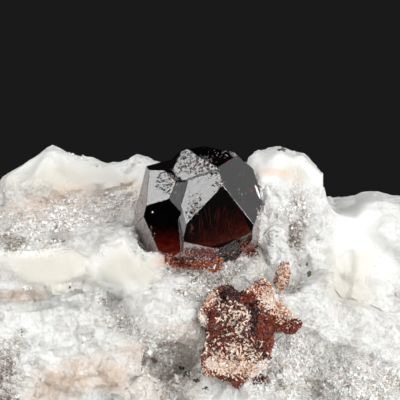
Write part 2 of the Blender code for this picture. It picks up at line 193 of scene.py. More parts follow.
CRUST = (                          # rusty crumbs along the foot of the crystal
    (212, 268, 11, 4, 110, 0.13), (170, 260, 5, 6, 90, 0.14), (195, 264, 25, 5, 330, 0.13),
    (219, 260, 7, 4, 50, 0.12), (188, 254, 8, 4, 20, 0.09), (222, 253, 24, 3, 26, 0.08),
    (191.5, 228, 0.8, 3, 6, 0.04), (144.5, 226, 1, 5, 9, 0.04), (258, 237, 2, 12, 24, 0.06),
)
DARK_CRUST = (                     # dark red crumbs, at its right-hand end and below the broken garnet
    (248, 250, 10, 8, 230, 0.11), (201, 253, 19, 6, 420, 0.075), (259, 379, 8, 6, 150, 0.09),
    (238, 385, 4, 5, 40, 0.08),
)
PALE_DUST_AND_GLINTS = (                           # feldspar dust on the crystal, with painted glints: light specks on the etched faces and a highlight spot at (152.5, 212)
    (226, 152, 20, 6, 46, 0.035), (150, 161, 12, 4, 12, 0.04), (242, 190, 9, 22, 7, 0.04),
    (138, 205, 5, 24, 34, 0.05), (145, 240, 5, 9, 16, 0.05), (259, 222, 3, 20, 34, 0.07),
    (176, 190, 6, 12, 7, 0.04), (203, 255, 18, 5, 20, 0.05), (152.5, 212, 0.5, 1.5, 3, 0.07),
    (194, 209, 5, 10, 10, 0.04),
)
DARK_DUST_AND_PIT_SHADE = (                      # dark specks on the crystal: dirt, and painted shade for its etch pits
    (196, 164, 20, 9, 170, 0.045), (170, 180, 8, 8, 90, 0.045), (194, 208, 5, 10, 80, 0.045),
    (220, 184, 5, 6, 34, 0.045), (205, 190, 16, 12, 26, 0.03), (154, 190, 6, 12, 8, 0.03),
    (137, 208, 5, 30, 190, 0.05), (147, 240, 8, 14, 130, 0.05),
)

# Zones of the broken garnet.
DARK_CORE = ((231, 294, 17, 10, -28), (253, 318, 6, 21, 12), (245, 366, 12, 5, -20), (225, 322, 9, 9, 0))
DEEP_RED = (
    (263, 338, 9, 26, 12), (212, 300, 9, 20, 28), (291, 318, 9, 7, 0), (210, 335, 8, 26, 0),
    (206, 361, 6, 5, 0), (243, 374, 12, 6, -20), (256, 278, 10, 7, -20),
)
OVERGROWN = ((200, 322, 7, 11, 10), (273, 300, 5, 10, 45), (214, 366, 8, 4, 20), (262, 366, 8, 5, -30))
CREAM_NET = ((232, 358, 28, 22, 0), (236, 322, 15, 20, 0))
NEEDLE_ZONES = (                   # zone, share of its grains, their shades, how long they are
    ("red", 0.85, 0.0, 0.60, 1.0), ("core", 0.95, 0.0, 0.19, 1.0), ("net", 0.9, 0.0, 0.5, 1.0),
    ("peach", 0.9, 0.56, 1.1, 1.5), ("net", 0.31, 0.8, 1.1, 3.5), ("white", 0.95, 0.8, 1.3, 1.2),
)
PEACH = (
    (276, 299, 26, 16, 42), (248, 284, 9, 8, 0), (206, 298, 14, 10, -45), (232, 368, 28, 10, 0),
    (282, 273, 9, 16, 15),
)


# ---- helpers ------------------------------------------------------------------------------------
def turn_matrix(degrees):
    return Euler([math.radians(a) for a in degrees], "XYZ").to_matrix()


def new_object(name, data):
    made = bpy.data.objects.new(name, data)
    bpy.context.scene.collection.objects.link(made)
    return made


def add_piece(name, mesh):
    piece = new_object(name, mesh)
    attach(piece, "root")
    return piece


def mesh_of(shape, name):
    mesh = bpy.data.meshes.new(name)
    shape.to_mesh(mesh)
    shape.free()
    return mesh


def apply_modifiers(piece):
    graph = bpy.context.evaluated_depsgraph_get()
    mesh = bpy.data.meshes.new_from_object(piece.evaluated_get(graph))
    piece.modifiers.clear()
    piece.data = mesh


def remesh(piece, voxel):
    modifier = piece.modifiers.new("remesh", "REMESH")
    modifier.mode = "VOXEL"
    modifier.voxel_size = voxel
    apply_modifiers(piece)


def welded_copy(node):
    """The node's mesh as one connected skin."""
    shape = bmesh.new()
    shape.from_mesh(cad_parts[node].data)
    bmesh.ops.remove_doubles(shape, verts=shape.verts, dist=0.001 * MM)
    return mesh_of(shape, node + "_fine")


def coordinates(mesh):
    values = np.empty(len(mesh.vertices) * 3, np.float32)
    mesh.vertices.foreach_get("co", values)
    return values.reshape(-1, 3).astype(float)


def normals(mesh):
    values = np.empty(len(mesh.vertices) * 3, np.float32)
    mesh.vertices.foreach_get("normal", values)
    return values.reshape(-1, 3).astype(float)


def set_coordinates(mesh, points):
    mesh.vertices.foreach_set("co", points.astype(np.float32).ravel())
    mesh.update()


def set_attribute(mesh, name, values):
    attribute = mesh.attributes.new(name, "FLOAT", "POINT")
    attribute.data.foreach_set("value", np.asarray(values, np.float32))


def attribute_values(mesh, name):
    values = np.empty(len(mesh.vertices), np.float32)
    mesh.attributes[name].data.foreach_get("value", values)
    return values


def tree_of(mesh):
    return BVHTree.FromPolygons([v.co for v in mesh.vertices], [p.vertices for p in mesh.polygons])


def unit(values):
    return np.clip(values, 0.0, 1.0)


# ---- repeatable noise ---------------------------------------------------------------------------
SHELL_BOWL = 0.9                   # how hollow each shell-like break is
SHELL_LEAN = 0.55                  # how far the breaks and the faces tilt
FACE_LEAN = 0.5
STEP_EDGE = 0.14                   # width of the step between two faces, as a share of their size
TERRACES = 6


def cell_number(cells, salt):
    """A repeatable number from 0 to 1 for every whole-numbered cell."""
    x, y, z = (cells[:, i].astype(np.int64).astype(np.uint32) for i in range(3))
    mixed = x * np.uint32(73856093) ^ y * np.uint32(19349663) ^ z * np.uint32(83492791)
    mixed ^= np.uint32(salt * 97531 % 4294967296)
    for shift, factor in ((15, 2246822519), (13, 3266489917)):
        mixed ^= mixed >> np.uint32(shift)
        mixed *= np.uint32(factor)
    mixed ^= mixed >> np.uint32(16)
    return mixed / 4294967296.0


def smooth_noise(points, size, salt):
    """Soft lumps of that size, from -1 to 1."""
    place = points / size
    base = np.floor(place)
    part = place - base
    part = part * part * (3.0 - 2.0 * part)
    total = np.zeros(len(points))
    for corner in itertools.product((0, 1), repeat=3):
        weight = np.ones(len(points))
        for axis in range(3):
            weight *= part[:, axis] if corner[axis] else 1.0 - part[:, axis]
        total += weight * cell_number(base + np.array(corner), salt)
    return total * 2.0 - 1.0


def layered_noise(points, size, salt, octaves=3):
    total = sum(smooth_noise(points, size / 2 ** i, salt + i) / 2 ** i for i in range(octaves))
    return total / (2.0 - 2.0 ** (1 - octaves))


def warped(points, size, salt, amount=0.3):
    """The points moved about a little, so that what is worked out from them has uneven edges."""
    shift = np.stack([smooth_noise(points, size, salt + i) for i in range(3)], axis=1)
    return points + shift * size * amount


def cells_around(points, size, salt, lean):
    """For each cell beside the points: the gap to its centre, its tilted height, and its number."""
    place = warped(points, size, salt + 20) / size
    base = np.floor(place)
    for step in itertools.product((-1, 0, 1), repeat=3):
        cell = base + np.array(step)
        jitter = np.stack([cell_number(cell, salt + i) for i in range(3)], axis=1)
        tilt = np.stack([cell_number(cell, salt + 3 + i) - 0.5 for i in range(3)], axis=1) * 2.0 * lean
        gap = place - (cell + jitter)
        yield gap, (gap * tilt).sum(axis=1), cell_number(cell, salt + 6)


def shell_breaks(points, size, salt):
    """Shallow hollows that meet in sharp ridges, as broken feldspar has, about -0.5 to 0.5."""
    height = np.full(len(points), np.inf)
    for gap, slope, number in cells_around(points, size, salt, SHELL_LEAN):
        level = slope + SHELL_BOWL * (gap ** 2).sum(axis=1)
        height = np.minimum(height, level + number * 0.35)
    return height - 0.35


def broken_faces(points, size, salt):
    """Flat faces tilted every way with steps between them, as feldspar breaks, about -0.5 to 0.5."""
    near = np.full((2, len(points)), np.inf)
    level = np.zeros((2, len(points)))
    for gap, slope, number in cells_around(points, size, salt, FACE_LEAN):
        away = np.sqrt((gap ** 2).sum(axis=1))
        height = slope + (number - 0.5) * 0.5
        first = away < near[0]
        second = ~first & (away < near[1])
        near[1] = np.where(first, near[0], np.where(second, away, near[1]))
        level[1] = np.where(first, level[0], np.where(second, height, level[1]))
        near[0] = np.where(first, away, near[0])
        level[0] = np.where(first, height, level[0])
    side = 0.5 + 0.5 * unit((near[1] - near[0]) / STEP_EDGE)
    return level[0] * side + level[1] * (1.0 - side)


def cleavage_steps(points, size, salt):
    """Irregular flat terraces with low crisp steps between them, about -0.5 to 0.5."""
    level = layered_noise(warped(points, size / 3, salt + 20), size, salt) * TERRACES
    low = np.floor(level)
    return (low + unit((level - low) / STEP_EDGE)) / TERRACES / 2.0


# ---- the picture's frame ------------------------------------------------------------------------
def to_pixels(points):
    """Where the camera sees each point, in pixels of the picture: across and down."""
    away = points - np.array(EYE)
    depth = -(away @ np.array(BACK))
    across = (away @ np.array(RIGHT)) / depth * DISTANCE / PIXEL
    rise = (away @ np.array(UP)) / depth * DISTANCE / PIXEL
    return np.stack([MIDDLE + across, MIDDLE - rise], axis=1)


def towards(pixel):
    """The direction from the camera through a pixel."""
    aim = TARGET + RIGHT * (pixel[0] - MIDDLE) * PIXEL + UP * (MIDDLE - pixel[1]) * PIXEL
    return (aim - EYE).normalized()


def zone_mask(pixels, zones, wobble, softness=0.35):
    """How far each point is inside any of the zones, from 0 to 1, with uneven edges."""
    mask = np.zeros(len(pixels))
    for x, y, wide, high, turn in zones:
        angle = math.radians(turn)
        across = pixels[:, 0] - x
        down = pixels[:, 1] - y
        along = (across * math.cos(angle) + down * math.sin(angle)) / wide
        beside = (down * math.cos(angle) - across * math.sin(angle)) / high
        reach = np.sqrt(along ** 2 + beside ** 2) + wobble
        mask = np.maximum(mask, unit((1.0 + softness - reach) / (2.0 * softness)))
    return mask


# ---- materials ----------------------------------------------------------------------------------
class Nodes:
    """Short calls for building one node material. Their sizes are in millimetres."""

    def __init__(self, name):
        self.material = bpy.data.materials.new(name)
        self.material.use_nodes = True
        self.tree = self.material.node_tree
        self.shader = self.tree.nodes["Principled BSDF"]
        self.place = self.tree.nodes.new("ShaderNodeTexCoord").outputs["Object"]

    def node(self, kind, inputs=(), **settings):
        made = self.tree.nodes.new("ShaderNode" + kind)
        for key, value in settings.items():
            setattr(made, key, value)
        for key, value in dict(inputs).items():
            self.give(made.inputs[key], value)
        return made

    def give(self, socket, value):
        if isinstance(value, bpy.types.NodeSocket):
            self.tree.links.new(value, socket)
        else:
            socket.default_value = value

    def noise(self, size, detail=4.0, roughness=0.6, distortion=0.0):
        inputs = {"Vector": self.place, "Scale": 1.0 / (size * MM), "Detail": detail,
                  "Roughness": roughness, "Distortion": distortion}
        return self.node("TexNoise", inputs).outputs["Fac"]

    def cells(self, size, output="Distance"):
        inputs = {"Vector": self.place, "Scale": 1.0 / (size * MM)}
        return self.node("TexVoronoi", inputs).outputs[output]

    def grain(self, size):
        """Three repeatable numbers for each grain: red, green and blue."""
        return self.node("SeparateColor", {"Color": self.cells(size, "Color")}).outputs

    def streaks(self, place, size, detail, stretch):
        """Noise drawn out along the place's Z."""
        inputs = {"Vector": self.vector("MULTIPLY", place, (1.0, 1.0, stretch)),
                  "Scale": 1.0 / (size * MM), "Detail": detail, "Roughness": 0.7}
        return self.node("TexNoise", inputs).outputs["Fac"]

    def uneven_cells(self, size, wander):
        """Cells with uneven borders: a level for each, the distance to its border, and a tilted face."""
        scale = 1.0 / (size * MM)
        drift = self.node("TexNoise", {"Vector": self.place, "Scale": scale, "Detail": 5.0})
        drift = self.vector("MULTIPLY", drift.outputs["Color"], (wander * MM,) * 3)
        place = self.vector("ADD", self.place, drift)
        inputs = {"Vector": place, "Scale": scale}
        cell = self.node("TexVoronoi", inputs).outputs
        level = self.node("SeparateColor", {"Color": cell["Color"]}).outputs["Red"]
        edge = self.node("TexVoronoi", inputs, feature="DISTANCE_TO_EDGE").outputs["Distance"]
        lean = self.vector("SUBTRACT", cell["Color"], (0.5, 0.5, 0.5))
        gap = self.vector("SUBTRACT", place, cell["Position"])
        slope = self.vector("DOT_PRODUCT", gap, lean, "Value")
        return {"level": level, "edge": edge, "slope": self.math("DIVIDE", slope, size * MM)}

    def vector(self, operation, a, b, output="Vector"):
        return self.node("VectorMath", {0: a, 1: b}, operation=operation).outputs[output]

    def attribute(self, name):
        return self.node("Attribute", attribute_name=name).outputs["Fac"]

    def ramp(self, value, low, high):
        inputs = {"Value": value, "From Min": low, "From Max": high}
        return self.node("MapRange", inputs, interpolation_type="SMOOTHSTEP").outputs["Result"]

    def math(self, operation, a, b=0.0):
        made = self.node("Math", operation=operation)
        self.give(made.inputs[0], a)
        self.give(made.inputs[1], b)
        return made.outputs[0]

    def times(self, a, b):
        return self.math("MULTIPLY", a, b)

    def plus(self, a, b):
        return self.math("ADD", a, b)

    def mix(self, factor, a, b):
        made = self.node("Mix", data_type="RGBA")
        self.give(made.inputs[0], factor)
        self.give(made.inputs[6], a)
        self.give(made.inputs[7], b)
        return made.outputs[2]

    def blend(self, factor, a, b):
        made = self.node("Mix", data_type="FLOAT")
        self.give(made.inputs[0], factor)
        self.give(made.inputs[2], a)
        self.give(made.inputs[3], b)
        return made.outputs[0]

    def bump(self, height, distance, strength=1.0, before=None):
        inputs = {"Height": height, "Distance": distance * MM, "Strength": strength}
        made = self.node("Bump", inputs)
        if before is not None:
            self.give(made.inputs["Normal"], before)
        return made.outputs["Normal"]

    def finish(self, **inputs):
        for key, value in inputs.items():
            self.give(self.shader.inputs[key.replace("_", " ")], value)
        return self.material


def rgb(red, green, blue):
    return (red, green, blue, 1.0)


WHITE = rgb(0.79, 0.80, 0.78)
MILKY = rgb(0.74, 0.742, 0.72)
CREAMY = rgb(0.57, 0.545, 0.478)
SATIN = rgb(0.67, 0.675, 0.655)
GLASSY = rgb(0.62, 0.585, 0.555)
PALE_QUARTZ = rgb(0.80, 0.765, 0.735)
GREY_GRAIN = rgb(0.45, 0.365, 0.30)
DARK_QUARTZ = rgb(0.13, 0.105, 0.088)
SMOKY_BROWN_AND_SHADE = rgb(0.25, 0.19, 0.155)
TAN_STAIN_AND_SHADE = rgb(0.66, 0.51, 0.40)
RUST = rgb(0.15, 0.03, 0.015)
BRIGHT_RUST = rgb(0.33, 0.085, 0.035)
DARK_RUST = rgb(0.026, 0.007, 0.006)
PEACHY = rgb(0.68, 0.44, 0.33)
FLECK = rgb(0.76, 0.62, 0.51)
EVEN_SCATTER = (1.0, 0.95, 0.88)
CRUMB_SHADES = (                   # where each colour of the rusty grains starts and is full
    (0.18, 0.30, rgb(0.17, 0.022, 0.010)), (0.45, 0.56, rgb(0.36, 0.10, 0.04)),
    (0.62, 0.72, rgb(0.72, 0.46, 0.34)), (0.82, 0.92, rgb(0.82, 0.70, 0.57)), (1.04, 1.10, WHITE),
)


def rock_material():
    """Milky feldspar, grey sugary quartz, and stains, each where its attribute says; the tan and smoky
    attributes also paint shade, and pale cell borders, lines and cells paint highlights.
    """
    n = Nodes("feldspar_and_quartz")
    quartz = n.attribute("quartz")
    # smoky quartz, and painted shade in two small hollows
    dark = n.attribute("smoky_and_shade")
    base = n.mix(n.ramp(n.noise(2.2, 6.0, 0.65, 0.5), 0.42, 0.66), WHITE, MILKY)
    base = n.mix(n.times(n.attribute("smooth"), 0.85), base, SATIN)
    base = n.mix(n.times(n.attribute("cream"), 0.95), base, CREAMY)
    plain = n.math("SUBTRACT", 1.0, n.times(n.attribute("smooth"), 0.95))
    crystals = n.uneven_cells(1.5, 0.5)
    glassy = n.times(n.ramp(crystals["level"], 0.58, 0.66), plain)
    base = n.mix(n.times(glassy, 0.5), base, GLASSY)
    # tan stain, which also paints shade under the cream ledge and the white lump
    stain_and_painted_light = n.times(n.attribute("tan_and_shade"), n.ramp(n.noise(1.2, 6.0, 0.7), 0.28, 0.54))
    base = n.mix(n.times(stain_and_painted_light, 0.9), base, TAN_STAIN_AND_SHADE)
    # painted highlight: a pale line along the border of each crystal cell, for lit cleavage edges
    edge_highlight = n.times(n.ramp(crystals["edge"], 0.055, 0.0), plain)
    base = n.mix(n.times(edge_highlight, 0.5), base, rgb(0.90, 0.90, 0.89))
    hairline = n.math("ABSOLUTE", n.math("SUBTRACT", n.noise(1.6, 6.0, 0.6, 0.6), 0.5))
    hair = n.times(n.ramp(hairline, 0.012, 0.0), plain)
    base = n.mix(n.times(hair, 0.35), base, GREY_GRAIN)
    grain = n.grain(0.26)
    patches = n.ramp(n.noise(1.7, 8.0, 0.74, 0.9), 0.44, 0.58)
    patches = n.math("MAXIMUM", patches, dark)
    sugar = n.times(patches, n.ramp(grain["Red"], -0.5, 0.95))
    quartz_colour = n.mix(sugar, PALE_QUARTZ, GREY_GRAIN)
    quartz_colour = n.mix(n.times(n.ramp(grain["Green"], 0.15, 0.8), dark), quartz_colour, DARK_QUARTZ)
    # painted highlights: white glint cells, and white lines along the quartz crystals' edges
    highlight_line = n.math("ABSOLUTE", n.math("SUBTRACT", n.noise(1.3, 8.0, 0.7, 1.2), 0.5))
    white = n.math("MAXIMUM", n.ramp(grain["Blue"], 0.84, 0.9), n.ramp(highlight_line, 0.05, 0.02))
    quartz_colour = n.mix(white, quartz_colour, WHITE)
    base = n.mix(n.times(quartz, 0.92), base, quartz_colour)
    base = n.mix(n.times(stain_and_painted_light, 0.4), base, TAN_STAIN_AND_SHADE)
    base = n.mix(n.times(dark, 0.3), base, SMOKY_BROWN_AND_SHADE)
    streak = n.streaks(n.place, 0.3, 6.0, 0.16)
    fibrous = n.times(n.attribute("fibrous"), n.ramp(streak, 0.5, 0.68))
    base = n.mix(n.times(fibrous, 0.55), base, GREY_GRAIN)
    freckles = n.ramp(n.noise(0.35, 6.0, 0.75), 0.57, 0.68)
    base = n.mix(n.times(n.times(freckles, 0.28), plain), base, GREY_GRAIN)
    rust = n.attribute("rust")
    base = n.mix(n.times(n.ramp(rust, 0.1, 0.7), 0.7), base, PEACHY)
    rusty = n.ramp(n.plus(rust, n.noise(0.35, 5.0, 0.7)), 1.05, 1.25)
    base = n.mix(rusty, base, n.mix(n.ramp(grain["Red"], 0.3, 0.8), BRIGHT_RUST, RUST))
    bump = n.bump(n.times(n.noise(0.5, 8.0, 0.78), plain), 0.24, 0.9)
    tilted = n.plus(crystals["slope"], n.times(crystals["level"], 0.25))
    bump = n.bump(n.times(tilted, plain), 0.65, 1.0, bump)
    small = n.uneven_cells(0.5, 0.2)
    tilted = n.plus(small["slope"], n.times(small["level"], 0.2))
    bump = n.bump(n.times(tilted, plain), 0.26, 1.0, bump)
    grainy = n.times(n.blend(quartz, 0.2, 1.0), plain)
    bump = n.bump(n.times(n.cells(0.26), grainy), 0.17, 1.0, bump)
    bump = n.bump(n.times(n.ramp(hairline, 0.0, 0.02), plain), 0.06, 0.6, bump)
    bump = n.bump(n.times(streak, n.attribute("fibrous")), 0.25, 0.9, bump)
    rough = n.blend(quartz, 0.42, n.blend(grain["Red"], 0.12, 0.5))
    return n.finish(Base_Color=base, Roughness=rough, Normal=bump, IOR=1.53,
                    Subsurface_Weight=0.12, Subsurface_Scale=0.2 * MM, Subsurface_Radius=EVEN_SCATTER)


def grain_material():
    """Loose-looking quartz grains: glassy white, grey or brown, one shade each."""
    n = Nodes("quartz_grains")
    shade = n.attribute("shade")
    base = n.mix(n.ramp(shade, 0.45, 0.7), WHITE, rgb(0.46, 0.395, 0.34))
    base = n.mix(n.ramp(shade, 0.75, 1.0), base, DARK_QUARTZ)
    base = n.mix(n.times(n.noise(0.2), 0.2), base, PALE_QUARTZ)
    return n.finish(Base_Color=base, Roughness=n.blend(shade, 0.08, 0.3), IOR=1.54)


def garnet_material():
    """Clear deep red crystal: smooth faces, and grey etched ones where the attribute says."""
    n = Nodes("garnet_crystal")
    etch = n.attribute("etch")
    film_and_rim_light = n.attribute("film_and_rim_light")
    uneven = n.times(n.noise(0.55, 6.0, 0.7), 0.8)
    depth = n.ramp(n.plus(uneven, etch), 0.80, 0.90)
    steep = n.blend(n.ramp(etch, 1.0, 1.2), 1.0, 3.0)
    pits = n.math("SUBTRACT", n.ramp(n.cells(0.30), 0.1, 0.5), 1.0)
    bump = n.bump(n.times(n.times(pits, depth), steep), 0.085, 1.0)
    bump = n.bump(n.noise(0.8, 6.0, 0.6), 0.006, 0.25, bump)
    rough = n.blend(film_and_rim_light, n.blend(depth, 0.03, 0.10), 0.5)
    # coat of rusty stain where the film attribute says; at the right end of one dark face it is a painted
    # rim light
    coat_and_rim_light = n.times(film_and_rim_light, n.ramp(n.noise(0.5, 6.0, 0.7), 0.3, 0.6))
    tint = n.mix(n.attribute("foot"), rgb(0.105, 0.082, 0.062), rgb(0.19, 0.045, 0.025))
    stain_and_painted_light = n.mix(n.ramp(n.noise(0.3, 6.0, 0.7), 0.4, 0.6), DARK_RUST, tint)
    colour = n.mix(coat_and_rim_light, rgb(1.0, 0.93, 0.92), stain_and_painted_light)
    absorb = n.node("VolumeAbsorption", {"Color": rgb(0.72, 0.14, 0.09), "Density": 700.0})
    output = n.tree.nodes["Material Output"]
    n.tree.links.new(absorb.outputs["Volume"], output.inputs["Volume"])
    return n.finish(Base_Color=colour, Roughness=rough, Normal=bump, IOR=1.79,
                    Transmission_Weight=n.math("SUBTRACT", 1.0, coat_and_rim_light))


def inclusion_material():
    """Fine needles inside the crystal, which catch the light."""
    n = Nodes("inclusions")
    colour = n.mix(n.noise(0.2), rgb(0.30, 0.15, 0.09), rgb(0.10, 0.05, 0.03))
    return n.finish(Base_Color=colour, Roughness=0.6)


def painted_glow_material():
    n = Nodes("painted_glow_planes")
    # painted light: bright red patches where the glow attribute is high, and near-black painted shade where
    # it is low
    patches = n.ramp(n.noise(0.5, 8.0, 0.75), 0.35, 0.65)
    bright = n.mix(patches, rgb(0.75, 0.24, 0.12), rgb(0.20, 0.06, 0.04))
    glow = n.ramp(n.plus(n.attribute("glow"), n.times(n.noise(0.7, 8.0, 0.75), 0.6)), 0.25, 1.1)
    colour = n.mix(glow, rgb(0.003, 0.002, 0.002), bright)
    return n.finish(Base_Color=colour, Roughness=0.8, Specular_IOR_Level=0.0)


def crumb_material():
    """Rusty crumbs, each one dark red, rusty or peach."""
    n = Nodes("rusty_crumbs")
    shade = n.attribute("shade")
    base = DARK_RUST
    for low, high, colour in CRUMB_SHADES:
        base = n.mix(n.ramp(shade, low, high), base, colour)
    base = n.mix(n.times(n.noise(0.2), 0.2), base, RUST)
    return n.finish(Base_Color=base, Roughness=0.10)


def speck_material(name, dark, light, roughness):
    n = Nodes(name)
    return n.finish(Base_Color=n.mix(n.noise(0.12), dark, light), Roughness=roughness)


def rusty_material():
    """Crumbly weathered garnet: dark cores, deep red grains, and cream needles and flecks."""
    n = Nodes("weathered_garnet")
    grain = n.grain(0.24)
    clots = n.noise(0.9, 6.0, 0.7, 0.8)
    base = n.mix(n.ramp(n.plus(n.times(grain["Red"], 0.25), clots), 0.58, 0.75), RUST, BRIGHT_RUST)
    base = n.mix(n.ramp(n.noise(0.6, 6.0, 0.75, 0.6), 0.44, 0.56), base, DARK_RUST)
    red = n.mix(n.ramp(n.noise(0.3, 6.0, 0.7), 0.45, 0.62), rgb(0.20, 0.032, 0.014), DARK_RUST)
    base = n.mix(n.times(n.attribute("red"), 0.85), base, red)
    base = n.mix(n.attribute("core"), base, n.mix(n.ramp(grain["Green"], 0.8, 1.0), DARK_RUST, RUST))
    flecks = None
    for turn in ((0.5, 0.3, 0.2), (-0.6, 0.9, 1.0)):
        turned = n.node("VectorRotate", {"Vector": n.place, "Rotation": turn}, rotation_type="EULER_XYZ")
        streak = n.streaks(turned.outputs["Vector"], 0.34, 5.0, 0.25)
        lifted = n.plus(streak, n.times(n.attribute("net"), 0.05))
        needles = n.ramp(lifted, 0.58, 0.63)
        flecks = needles if flecks is None else n.math("MAXIMUM", flecks, needles)
    net = n.times(flecks, n.ramp(n.noise(1.3, 5.0, 0.6), 0.3, 0.46))
    base = n.mix(n.times(net, n.blend(n.attribute("net"), 0.15, 1.0)), base, FLECK)
    lifted = n.plus(n.times(n.attribute("peach"), 0.44), n.noise(0.5, 6.0, 0.75))
    peach = n.ramp(lifted, 0.86, 0.95)
    base = n.mix(n.times(n.attribute("white"), 0.9), base, n.mix(grain["Green"], PEACHY, WHITE))
    base = n.mix(n.times(peach, 0.9), base, n.mix(grain["Blue"], PEACHY, FLECK))
    bump = n.bump(n.cells(0.24), 0.10, 0.9)
    bump = n.bump(n.noise(0.3, 8.0, 0.75), 0.10, 0.9, bump)
    rough = n.blend(grain["Blue"], 0.08, 0.3)
    return n.finish(Base_Color=base, Roughness=rough, Normal=bump, Specular_IOR_Level=0.3)


def floor_material():
    n = Nodes("pale_floor")
    speck = n.mix(n.noise(4.0), rgb(0.70, 0.70, 0.69), rgb(0.76, 0.76, 0.75))
    return n.finish(Base_Color=speck, Roughness=0.6)


# ---- rock ---------------------------------------------------------------------------------------
def refine_front(mesh, margin, skip=None):
    """Splits every face that the camera sees into four, so that the near side has finer relief."""
    shape = bmesh.new()
    shape.from_mesh(mesh)
    points = np.array([f.calc_center_median() for f in shape.faces])
    facing = np.array([f.normal for f in shape.faces]) @ np.array(BACK)
    pixels = to_pixels(points)
    seen = (facing > 0.0) & (pixels > -margin).all(axis=1) & (pixels < PICTURE + margin).all(axis=1)
    if skip is not None:
        seen &= zone_mask(pixels, skip, np.zeros(len(pixels))) < 0.5
    shape.faces.ensure_lookup_table()
    edges = {edge for index in np.flatnonzero(seen) for edge in shape.faces[index].edges}
    bmesh.ops.subdivide_edges(shape, edges=list(edges), cuts=1, use_grid_fill=True)
    bmesh.ops.triangulate(shape, faces=[f for f in shape.faces if len(f.verts) > 4])
    shape.to_mesh(mesh)
    shape.free()


def cling(piece, node):
    """Brings the piece's points back to the node's own surface, so that its edges stay crisp."""
    modifier = piece.modifiers.new("cling", "SHRINKWRAP")
    modifier.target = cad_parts[node]
    modifier.wrap_method = "NEAREST_SURFACEPOINT"
    apply_modifiers(piece)


def front_masks(points, outward):
    """For every point of the rock, how far it belongs to each of its minerals, stains, painted shade and
    textures.
    """
    pixels = to_pixels(points)
    facing = outward @ np.array(BACK)
    inside = (pixels > -OUTSIDE).all(axis=1) & (pixels < PICTURE + OUTSIDE).all(axis=1)
    inside &= facing > -0.2
    wobble = layered_noise(points, 2.2 * MM, 11, 4) * 0.6
    banded = layered_noise(points * np.array((1.0, 1.4, 2.0)), 9.0 * MM, 21)
    everywhere = unit(banded * 3.0 - 0.5)
    masks = {
        "quartz": np.where(inside, zone_mask(pixels, GREY_QUARTZ, wobble), everywhere),
        "smoky_and_shade": np.where(inside, zone_mask(pixels, SMOKY_AND_SHADE, wobble), 0.3 * everywhere),
        "cream": np.where(inside, zone_mask(pixels, CREAM, wobble, 0.5), unit(-banded * 2.0)),
        "tan_and_shade": np.where(inside, zone_mask(pixels, TAN_AND_SHADE, wobble, 0.6), 0.3 * everywhere),
        "rust": np.where(inside, zone_mask(pixels, RUSTY, wobble, 0.6), 0.0),
        "smooth": np.where(inside, zone_mask(pixels, SMOOTH, wobble, 0.3), 0.0),
        "fibrous": np.where(inside, zone_mask(pixels, FIBROUS, wobble, 0.3), 0.0),
    }
    beyond = unit((np.abs(pixels - MIDDLE).max(axis=1) - MIDDLE) / EDGE_FADE)
    masks["unseen"] = np.maximum(beyond, unit(-facing * 3.0))
    masks["raised"] = sum(height * inside * zone_mask(pixels, (zone,), wobble, 0.12)
                          for *zone, height in RAISED)
    return masks


def flatten(points, outward, wobble):
    """Slides the points of each flat zone along the camera's sight towards one plane."""
    pixels = to_pixels(points)
    facing = unit(outward @ np.array(BACK) * 3.0)
    away = points - np.array(EYE)
    depth = -(away @ np.array(BACK))
    for *zone, lumps in FLAT:
        weight = zone_mask(pixels, (zone,), wobble * 0.5, 0.25)
        farthest = np.median(depth[weight * facing > 0.5]) + PLANE_DEPTH
        inside = (weight * facing > 0.3) & (depth < farthest)
        table = np.column_stack([np.ones(len(points)), pixels])
        plane = table @ np.linalg.lstsq(table[inside], depth[inside], rcond=None)[0]
        gap = plane - depth
        weight *= np.where(gap > 0.0, unit((lumps - gap / MM) / LUMP_FADE),
                           facing * unit((HOLLOWS + gap) / HOLLOW_FADE))
        depth = depth + gap * weight * FLATNESS
    return np.array(EYE) + away * (depth / -(away @ np.array(BACK)))[:, None]


def match_skyline(points):
    """Shifts the rock's crown a little, sideways and up or down, so that its outline is the picture's."""
    pixels = to_pixels(points)
    for across, move, reach, lowest in SIDEWAYS:
        fade = unit((lowest - pixels[:, 1]) / SIDE_FADE)
        bell = np.exp(-((pixels[:, 0] - across) / reach) ** 2)
        points = points + np.array(RIGHT) * (move * MM * fade * bell)[:, None]
    pixels = to_pixels(points)
    shift = np.zeros(len(points))
    for line in SKYLINES:
        moves = []
        for across, down in line:
            column = np.abs(pixels[:, 0] - across) < SKY_COLUMN
            moves.append(np.clip(down - pixels[column, 1].min(), -SKY_SHIFT, SKY_SHIFT))
        places = [across for across, _ in line]
        tops = np.interp(pixels[:, 0], places, [down for _, down in line])
        moved = np.interp(pixels[:, 0], places, moves) * unit(1.0 - (pixels[:, 1] - tops) / SKY_DEPTH)
        if places[0] > 0:
            moved *= unit((pixels[:, 0] - places[0]) / SKY_MARGIN + 1.0)
        if places[-1] < PICTURE - 1:
            moved *= unit((places[-1] - pixels[:, 0]) / SKY_MARGIN + 1.0)
        shift += moved
    return points - np.array(UP) * (shift * PIXEL)[:, None]


def draw_in(points, seated, reach):
    """Moves the rock's points near a seated piece on to it, and says how near each of them was."""
    tree = tree_of(seated.data)
    body = coordinates(seated.data)
    close = ((points > body.min(0) - 3 * MM) & (points < body.max(0) + 3 * MM)).all(axis=1)
    near = np.zeros(len(points))
    for index in np.flatnonzero(close):
        found, normal, _, distance = tree.find_nearest(Vector(points[index]))
        target = np.array(found) + np.array(normal) * BED
        inside = (points[index] - np.array(found)) @ np.array(normal) < BED
        pull = 1.0 if inside else min(1.0, max(0.0, (reach - distance) / (reach - HUG)))
        near[index] = 1.0 - min(1.0, distance / BESIDE)
        points[index] += (target - points[index]) * pull
    return near


